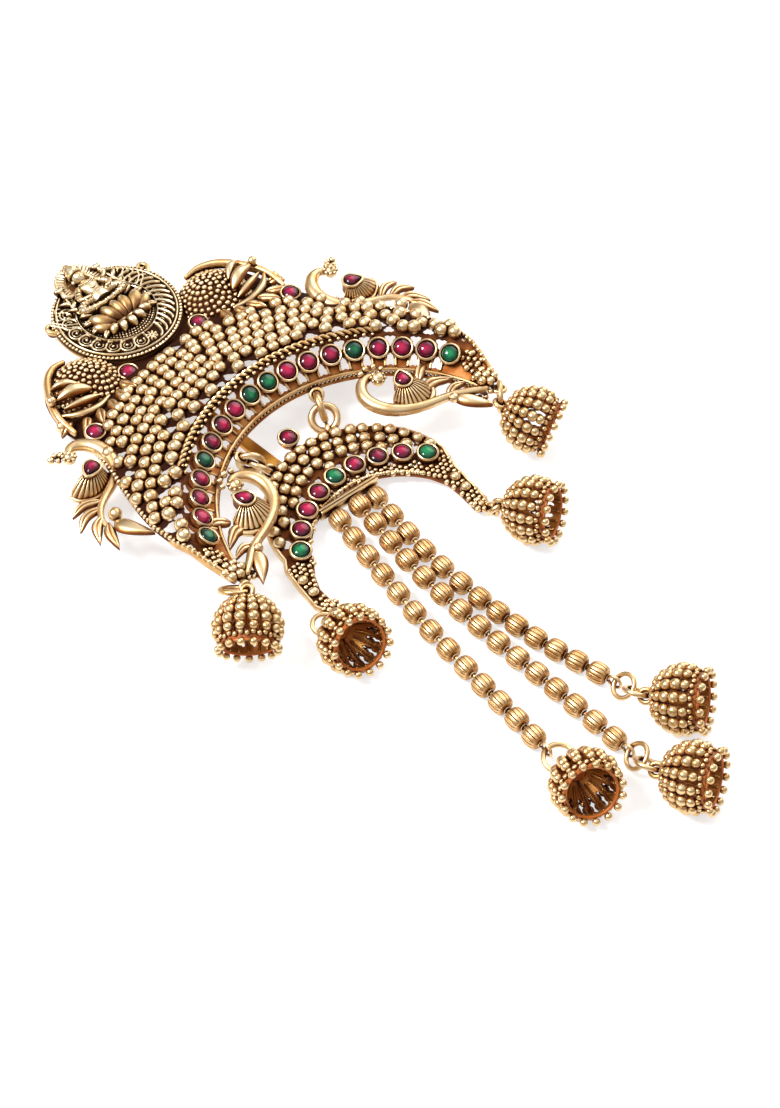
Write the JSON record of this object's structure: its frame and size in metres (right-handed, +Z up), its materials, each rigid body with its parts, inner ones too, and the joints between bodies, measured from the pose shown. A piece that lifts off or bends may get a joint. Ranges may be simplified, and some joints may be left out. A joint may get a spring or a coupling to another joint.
{
  "type": "hair bun pin",
  "caption": "Gold bun pin: round medallion over a stone-set crescent with peacocks, a small linked crescent in its bay, bead chains and bell drops, lying on its back.",
  "frame": {"origin": "on the flat back, under the centre of the round medallion, at the height of the table the pin lies on", "axes": "+Z up from the table through the ornament's face; the bead chains run away from the medallion along -Y; +X towards the horn on the right when seen from above with the medallion at the top"},
  "size_m": [0.0851, 0.1668, 0.0128],
  "materials": {
    "gold": "polished granulated gold colour with dark recesses",
    "antique": "antiqued pale gold colour, cast relief",
    "pin": "plain polished strip",
    "ruby": "polished cabochon, deep pink red",
    "emerald": "polished cabochon, green"
  },
  "bodies": {
    "root": {"large_crescent": "gold", "medallion": "antique", "small_crescent": "gold", "hair_pin": "pin", "row_stone_1": "emerald", "row_stone_2": "ruby", "row_stone_3": "ruby", "row_stone_4": "ruby", "row_stone_5": "emerald", "row_stone_6": "ruby", "row_stone_7": "ruby", "row_stone_8": "ruby", "row_stone_9": "emerald", "row_stone_10": "emerald", "row_stone_11": "ruby", "row_stone_12": "ruby", "row_stone_13": "ruby", "row_stone_14": "emerald", "row_stone_15": "ruby", "row_stone_16": "ruby", "row_stone_17": "ruby", "row_stone_18": "emerald", "near_stone_left": "ruby", "far_stone_left": "ruby", "near_stone_right": "ruby", "far_stone_right": "ruby", "outer_peacock_stone_left": "ruby", "outer_peacock_stone_right": "ruby", "inner_peacock_stone_left": "ruby", "inner_peacock_stone_right": "ruby", "small_stone_1": "emerald", "small_stone_2": "ruby", "small_stone_3": "ruby", "small_stone_4": "ruby", "small_stone_5": "emerald", "small_stone_6": "ruby", "small_stone_7": "ruby", "small_stone_8": "ruby", "small_stone_9": "emerald", "apex_stone": "ruby", "beads_left": "gold", "beads_middle": "gold", "beads_right": "gold", "wire_left": "gold", "wire_middle": "gold", "wire_right": "gold", "bell_horn_left": "gold", "bell_horn_right": "gold", "bell_small_left": "gold", "bell_small_right": "gold", "bell_chain_left": "gold", "bell_chain_middle": "gold", "bell_chain_right": "gold", "links_left": "gold", "links_right": "gold", "chain_rings": "gold", "horn_rings": "gold"}
  },
  "joints": []
}
